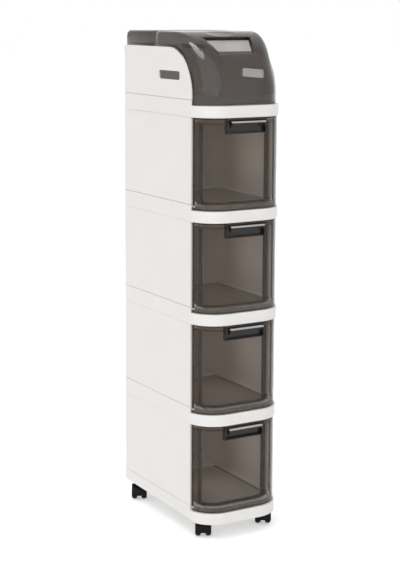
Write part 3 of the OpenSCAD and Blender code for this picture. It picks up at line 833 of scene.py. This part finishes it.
def cover_stations():
    """Side view of the cover: (y, z, ny, nz, angle, depth of the side wall, in the recess)."""
    s = sizes()
    mid_y, mid_z = s.cover_front + s.cover_r, LID_TOP - s.cover_r
    rows = [
        (s.cover_front, LID_FOOT + (mid_z - LID_FOOT) * k / 3, -1.0, 0.0, 0.0, 47.0, False)
        for k in range(3)
    ]
    drop = BOX_TOP - BOX_ARC - mid_z
    stops = [(2.0 * k, GRIP_LOW <= 2.0 * k <= GRIP_HIGH) for k in range(46)]
    for a, held in sorted(stops + [(GRIP_HIGH, False)], key=lambda stop: (stop[0], not stop[1])):
        t = math.radians(a)
        ny, nz = -math.cos(t), math.sin(t)
        reach = drop * nz + math.sqrt((BOX_ARC - SKIRT) ** 2 - (drop * math.cos(t)) ** 2)
        y, z = mid_y - s.cover_r * math.cos(t), mid_z + s.cover_r * nz
        rows.append((y, z, ny, nz, a, s.cover_r - reach, held))
    for k in range(1, 6):
        y = mid_y + (s.seam_y - mid_y) * k / 5
        rows.append((y, LID_TOP, 0.0, 1.0, 90.0, LID_TOP - BOX_TOP + SKIRT, False))
    return rows


def grip_half(angle):
    """Half the width of the finger recess at an angle on the arc."""
    s = sizes()
    share = min(1.0, max(0.0, (angle - GRIP_LOW) / (GRIP_HIGH - GRIP_LOW)))
    return s.grip_low_half + (s.grip_half - s.grip_low_half) * share


def grip_depth(angle):
    """Depth of the recess's flat floor below the arc, along the ray at an angle."""
    s = sizes()

    def on_arc(a, deep):
        t = math.radians(a)
        return -(s.cover_r - deep) * math.cos(t), (s.cover_r - deep) * math.sin(t)

    (y0, z0), (y1, z1) = on_arc(GRIP_LOW, 0.0), on_arc(GRIP_HIGH, s.grip_d)
    t = math.radians(angle)
    dy, dz = -math.cos(t), math.sin(t)
    reach = (y0 * (z1 - z0) - z0 * (y1 - y0)) / (dy * (z1 - z0) - dz * (y1 - y0))
    return s.cover_r - reach


def cover_row(y, z, ny, nz, angle, side_depth, held):
    """Points across the cover at a station, from the left foot to the right foot."""
    s = sizes()
    r = s.cover_corner_r + (s.cover_edge_r - s.cover_corner_r) * eased_step((angle - 24) / 64)
    grip, flat = grip_half(angle), s.cover_half - r
    deep_turn = math.acos(max(0.0, 1 - side_depth / r))

    def along(x):
        return x if x <= flat else flat + r * math.asin(min(1.0, (x - flat) / r))

    def at(run):
        if run <= flat:
            return run, 0.0
        turn = min((run - flat) / r, deep_turn)
        return flat + r * math.sin(turn), r * (1 - math.cos(turn))

    first, last = along(grip), flat + r * deep_turn
    half = [(grip * k / 14, None) for k in range(15)]
    half += [at(first + (last - first) * k / 20) for k in range(21)]
    end_x, end_d = half[-1]
    half += [(end_x, end_d + (side_depth - end_d) * k / 4) for k in range(1, 5)]
    row = []
    for x, depth in half:
        if depth is None:
            depth = at(along(x))[1]
            if held:
                depth = max(depth, grip_depth(angle))
        dish = 1 - (x / DISH_HALF) ** 2 - ((angle - DISH_AT) / DISH_SPREAD) ** 2
        if dish > 0:
            depth += s.dish_d * math.sqrt(dish)
        row.append((x, y - ny * depth, z - nz * depth))
    return [(-x, a, b) for x, a, b in reversed(row[1:])] + row


def rim(mould, side, y_from, y_to):
    """Strip on the edge of one of the top box's panels, between two depths. Without a first
    depth it starts on the curved front edge, and widens from there."""
    s = sizes()
    path = [(90, y_from)] if y_from else [(a, None) for a in range(RIM_FROM, 91, 3)]
    low, high = RIM_GAP, RIM_GAP + s.rim_h
    rings = []
    for angle, stop in path + [(90, y_to)]:
        ring = []
        rise = math.sin(math.radians(angle)) - math.sin(math.radians(RIM_FROM))
        for grow, inner in ((low, True), (low, False), (high, False), (high, True)):
            y, z = box_edge(angle, grow)
            y = stop or y
            lean = max(0.0, s.corner_r - y)
            wide = math.sqrt(max(0.0, (s.corner_r - RIM_BACK) ** 2 - lean * lean))
            outer = min(HALF_W - s.corner_r + wide, s.cover_half - 1 + RIM_SPREAD * rise)
            ring.append((side * (s.cover_half - RIM_LAP if inner else outer), y, z))
        rings.append(ring)
    mould.loft(rings)


def knuckle_at(k):
    """Middle and length of one of the hinge's knuckles, counted from the left."""
    s = sizes()
    pitch = (2 * (s.cover_half - s.cover_edge_r) + HINGE_GAP) / s.knuckle_n
    return (k - (s.knuckle_n + 1) / 2) * pitch, pitch - HINGE_GAP


def knuckles(first, count):
    """Barrels of the hinge along the seam: every second one, from the given one on."""
    x, w = knuckle_at(first)
    start = Matrix.Translation(place(x, sizes().seam_y, LID_TOP - HINGE_R))
    return grown(row_tree(), start, Count=count, Pitch=2 * (w + HINGE_GAP) * MM, Length=w * MM,
                 Radius=HINGE_R * MM, Finish=finish_of("cover"))


class TOWER_OT_cover(bpy.types.Operator):
    """Smoky flip cover, rear lid and the pin between them"""

    bl_idname = "tower.cover"
    bl_label = "Cover"

    def execute(self, context):
        s = sizes()
        skin, rims, notches = Mould(), Mould(), Mould()
        skin.loft([cover_row(*station) for station in cover_stations()],
                  closed=False, capped=False)
        for side in (-1, 1):
            rim(rims, side, 0.0, s.seam_y)
        for k in range(2, s.knuckle_n, 2):
            x, w = knuckle_at(k)
            notches.block(x - w / 2 - SEAM_GAP, x + w / 2 + SEAM_GAP,
                          s.seam_y - 4.1, s.seam_y + 2, LID_TOP - 9, LID_TOP + 3)
        obj = piece("cover", skin, "cover", "flip_cover", 0.5, cutters=[notches],
                    wall=s.cover_wall, more=rims)
        joined(obj, knuckles(1, (s.knuckle_n + 1) // 2))
        smooth(obj.data)
        self.grip_painted_light()
        self.rear_lid()
        pin = frame["nodes"]["hinge_pin"].data
        pin.materials.clear()
        pin.materials.append(finish_of("steel"))
        return {"FINISHED"}

    def grip_painted_light(self):
        """Painted reflection on the floor of the finger recess, in a pale finish, and painted shade
        on the dark step above it.
        """
        s = sizes()
        reflection_sheet, step = Mould(), Mould()
        # Pale strip on the recess's floor: painted reflection of the light above
        rings = []
        for y, z, ny, nz, angle, _, held in cover_stations():
            if held and GRIP_LOW + 5 <= angle:
                half, deep = grip_half(angle) - 2.5, grip_depth(angle)
                ring = [(-half, deep - 0.3), (half, deep - 0.3), (half, deep + 0.2),
                        (-half, deep + 0.2)]
                rings.append([(x, y - ny * d, z - nz * d) for x, d in ring])
        reflection_sheet.loft(rings)
        piece("grip_reflection_painted", reflection_sheet, "painted_gleam", "flip_cover", stands=False)
        # Dark strip on the recess's upper wall: painted shade under its ledge
        t = math.radians(GRIP_HIGH)
        sides = []
        for out, deep in ((-0.3, 0.9), (-0.3, s.grip_d), (0.3, s.grip_d), (0.3, 0.9)):
            r = s.cover_r - deep
            sides.append((s.cover_front + s.cover_r - r * math.cos(t) + out * math.sin(t),
                          LID_TOP - s.cover_r + r * math.sin(t) + out * math.cos(t)))
        step.bar(sides, -s.grip_half + 1, s.grip_half - 1)
        piece("grip_shade_painted", step, "web", "flip_cover", stands=False)

    def rear_lid(self):
        """Rear lid: open below and at the seam, rounded at its sides and at the back."""
        s = sizes()
        front, rear_r, foot = s.seam_y + SEAM_GAP, 14.0, BOX_TOP - SKIRT
        crown, hinge_z = LID_TOP - rear_r, LID_TOP - HINGE_R
        turns = [math.radians(90.0 * k / 8) for k in range(9)]
        levels = [(foot, 0.0, 0.0), (crown, 0.0, 0.0)]
        for a in turns[1:]:
            z = crown + rear_r * math.sin(a)
            up = max(0.0, z - (LID_TOP - s.cover_edge_r))
            edge = s.cover_edge_r - math.sqrt(max(0.0, s.cover_edge_r**2 - up * up))
            levels.append((z, edge, rear_r * (1 - math.cos(a))))
        rings = []
        for z, edge, back in levels:
            half, end, r = s.cover_half - edge, LID_BACK - back, rear_r - edge
            ring = [(half, front, z)] + [
                (half - r + r * math.cos(a), end - r + r * math.sin(a), z) for a in turns
            ]
            rings.append(ring + [(-x, y, h) for x, y, h in reversed(ring)])
        skin, rims, swing, straps = Mould(), Mould(), Mould(), Mould()
        made = skin.loft(rings, closed=False, capped=False)
        skin.faces.append(tuple(made[-1]))
        for side in (-1, 1):
            rim(rims, side, front, LID_BACK - 20)
        swing.bar([(front - 5, hinge_z - 4), (front + 3.9, hinge_z - 4), (front + 4.2, hinge_z),
                   (front + 6, hinge_z + 5), (front - 5, hinge_z + 5)], -HALF_W, HALF_W)
        obj = piece("back_lid", skin, "cover", "rear_lid", 0.5, cutters=[swing],
                    wall=s.cover_wall, more=rims)
        y = s.seam_y
        for k in range(2, s.knuckle_n, 2):
            x, w = knuckle_at(k)
            straps.bar([(y, hinge_z - 3.5), (y + 9.4, LID_TOP - 4.2), (y + 9.4, LID_TOP - 2.2),
                        (y + 2.5, hinge_z - 2.2)], x - w / 2, x + w / 2)
        joined(obj, straps)
        joined(obj, knuckles(2, s.knuckle_n // 2))
        smooth(obj.data)


class TOWER_OT_casters(bpy.types.Operator):
    """Casters with their sockets and stems"""

    bl_idname = "tower.casters"
    bl_label = "Casters"

    def execute(self, context):
        eased("caster_sockets", "pull", 0.3)
        for i in TIERS:
            eased(f"caster_stem_{i}", "steel", 0.3)
            eased(f"caster_axle_{i}", "steel", 0.3)
            eased(f"caster_hood_{i}", "caster", 0.5)
            self.wheels(i)
        return {"FINISHED"}

    def wheels(self, i):
        """Twin wheels: rounded treads, dished faces with a rim line, a hub and spokes."""
        node = f"caster_wheels_{i}"
        low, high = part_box(f"caster_axle_{i}")
        middle = (low + high) / 2
        at = (middle.x / MM, (middle.y - FRONT_Y) / MM, (middle.z - BASE_Z) / MM)
        box_low, box_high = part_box(node)
        r = (box_high.z - box_low.z) / 2 / MM
        yaw = math.radians(sizes().caster_yaw + (180 if i > 2 else 0))
        gap, w, soft, hub = 5.0, sizes().wheel_w, 5.0, 5.6
        dish, face = r - soft - 1.2, gap + w
        arc = [math.radians(90.0 * k / 5) for k in range(6)]
        profile = [(gap, 0.0), (gap, r - soft)]
        profile += [(gap + soft * (1 - math.cos(a)), r - soft + soft * math.sin(a)) for a in arc]
        profile += [(face - soft * (1 - math.sin(a)), r - soft + soft * math.cos(a)) for a in arc]
        profile += [(face, dish + 0.6), (face - 0.9, dish), (face - 1.1, hub), (face, hub - 0.6),
                    (face, 2.0), (face - 0.4, 0.0)]
        mould = Mould()
        for side in (-1, 1):
            turned(mould, at, (side * math.cos(yaw), side * math.sin(yaw), 0.0), profile)
        obj = piece(f"wheel_pair_{i}", mould, "caster", node)
        for side in (-1, 1):
            out = Matrix.Translation((side * (face - 0.7) * MM, 0, 0))
            there = Matrix.Translation(middle) @ Matrix.Rotation(yaw, 4, "Z") @ out
            joined(obj, grown(ring_tree(), there, Count=sizes().spokes,
                              Reach=(dish + hub) / 2 * MM, Across=(dish - hub + 0.8) * MM,
                              Thickness=0.8 * MM, Width=1.2 * MM, Finish=finish_of("caster")))
        smooth(obj.data)


# ---- stage ----


def shown_rays(nodes, links):
    """1 for rays that a viewer follows: straight, mirrored or through clear plastic."""
    path = nodes.new("ShaderNodeLightPath")
    total = path.outputs["Is Camera Ray"]
    for name in ("Is Glossy Ray", "Is Transmission Ray"):
        more = nodes.new("ShaderNodeMath")
        more.operation = "MAXIMUM"
        links.new(total, more.inputs[0])
        links.new(path.outputs[name], more.inputs[1])
        total = more.outputs["Value"]
    return total


def make_world():
    """Soft light from all round, and white where the viewer looks."""
    world = bpy.data.worlds.new("studio")
    bpy.context.scene.world = world
    world.use_nodes = True
    nodes, links = world.node_tree.nodes, world.node_tree.links
    nodes.clear()
    out = nodes.new("ShaderNodeOutputWorld")
    mix = nodes.new("ShaderNodeMixShader")
    light, shown = nodes.new("ShaderNodeBackground"), nodes.new("ShaderNodeBackground")
    put(light, Color=(1.0, 1.0, 1.0, 1.0), Strength=0.68)
    put(shown, Color=(1.0, 1.0, 1.0, 1.0), Strength=1.0)
    links.new(shown_rays(nodes, links), mix.inputs["Fac"])
    links.new(light.outputs["Background"], mix.inputs[1])
    links.new(shown.outputs["Background"], mix.inputs[2])
    links.new(mix.outputs["Shader"], out.inputs["Surface"])


def make_floor():
    """Pale floor, which glows a little where the viewer sees it."""
    side = 30.0
    mesh = bpy.data.meshes.new("floor")
    corners = [(-side, -side, 0), (side, -side, 0), (side, side, 0), (-side, side, 0)]
    mesh.from_pydata(corners, [], [(0, 1, 2, 3)])
    floor = bpy.data.objects.new("floor", mesh)
    bpy.context.scene.collection.objects.link(floor)
    made, nodes, links, shader = new_material("pale_floor")
    put(shader, Base_Color=(0.86, 0.86, 0.86, 1.0), Roughness=0.9, Specular_IOR_Level=0.0)
    glow, add, mix = (nodes.new("ShaderNode" + n) for n in ("Emission", "AddShader", "MixShader"))
    put(glow, Strength=0.42)
    links.new(shader.outputs["BSDF"], add.inputs[0])
    links.new(glow.outputs["Emission"], add.inputs[1])
    links.new(shown_rays(nodes, links), mix.inputs["Fac"])
    links.new(shader.outputs["BSDF"], mix.inputs[1])
    links.new(add.outputs["Shader"], mix.inputs[2])
    links.new(mix.outputs["Shader"], nodes["Material Output"].inputs["Surface"])
    mesh.materials.append(made)


def lamp(name, kind, energy, at, towards, size):
    """A lamp at a point, aimed at another; its size is a sun's angle in degrees or a radius."""
    data = bpy.data.lights.new(name, kind)
    data.energy = energy
    if kind == "SUN":
        data.angle = math.radians(size)
    else:
        data.shadow_soft_size = size
    made = bpy.data.objects.new(name, data)
    bpy.context.scene.collection.objects.link(made)
    made.location = at
    made.rotation_euler = (Vector(towards) - Vector(at)).to_track_quat("-Z", "Y").to_euler()
    return made


def make_camera():
    """Camera as solved from the photograph: its right, up and back directions."""
    data = bpy.data.cameras.new("view")
    data.sensor_width = 36.0
    data.lens = 89.2
    data.shift_y = -0.0867
    data.clip_start, data.clip_end = 0.05, 100.0
    made = bpy.data.objects.new("view", data)
    bpy.context.scene.collection.objects.link(made)
    right = Vector((0.86035, -0.50968, 0.00452)).normalized()
    back = Vector((-0.50379, -0.84898, 0.15948)).normalized()
    up = back.cross(right)
    turn = Matrix((right, up, back)).transposed().to_4x4()
    made.matrix_world = Matrix.Translation(place(-1632.97, -2553.04, 1136.21)) @ turn
    bpy.context.scene.camera = made


class TOWER_OT_stage(bpy.types.Operator):
    """Pale floor, soft studio light and the camera"""

    bl_idname = "tower.stage"
    bl_label = "Stage"

    def execute(self, context):
        make_world()
        make_floor()
        aim = (0.0, 0.0, 0.5)
        lamp("key", "SUN", 1.0, (-2.1, -3.0, 2.3), aim, 70.0)
        lamp("top", "SUN", 0.5, (-1.5, -0.5, 3.4), aim, 20.0)
        shine = lamp("shine", "SUN", 1.6, (-1.6, -0.85, 3.2), aim, 30.0)
        shine.visible_diffuse = shine.visible_transmission = False
        for i in TIERS:
            spot = place(0.0, 150.0, tier_z(i) + (BIN_Z + BIN_TOP) / 2)
            inner = lamp(f"glow_{i}", "POINT", 0.12, spot, spot + Vector((0, 0, -1)), 0.04)
            inner.data.color = (1.0, 0.8, 0.66)
            inner.visible_camera = inner.visible_glossy = False
        make_camera()
        context.scene.view_settings.view_transform = "Standard"
        return {"FINISHED"}


STEPS = (
    TOWER_OT_stage,
    TOWER_OT_frames,
    TOWER_OT_panels,
    TOWER_OT_bins,
    TOWER_OT_fronts,
    TOWER_OT_cover,
    TOWER_OT_casters,
)


class TOWER_PT_panel(bpy.types.Panel):
    """Lists the tower's pieces and their sizes and colours"""

    bl_idname = "TOWER_PT_panel"
    bl_label = "Storage tower"
    bl_space_type = "VIEW_3D"
    bl_region_type = "UI"
    bl_category = "Tower"

    def draw(self, context):
        for step in STEPS:
            self.layout.operator(step.bl_idname)
        for group in (sizes(), colours()):
            for name in group.__annotations__:
                self.layout.prop(group, name)


CLASSES = (TowerSizes, TowerColours, *STEPS, TOWER_PT_panel)


def register():
    """Adds the classes and the scene's settings to Blender."""
    for c in CLASSES:
        bpy.utils.register_class(c)
    bpy.types.Scene.tower_sizes = PointerProperty(type=TowerSizes)
    bpy.types.Scene.tower_colours = PointerProperty(type=TowerColours)


def unregister():
    """Takes them out again."""
    del bpy.types.Scene.tower_colours
    del bpy.types.Scene.tower_sizes
    for c in reversed(CLASSES):
        bpy.utils.unregister_class(c)


def main():
    """Builds all."""
    register()
    for step in STEPS:
        getattr(bpy.ops.tower, step.bl_idname.split(".")[1])()


if __name__ == "__main__":
    main()
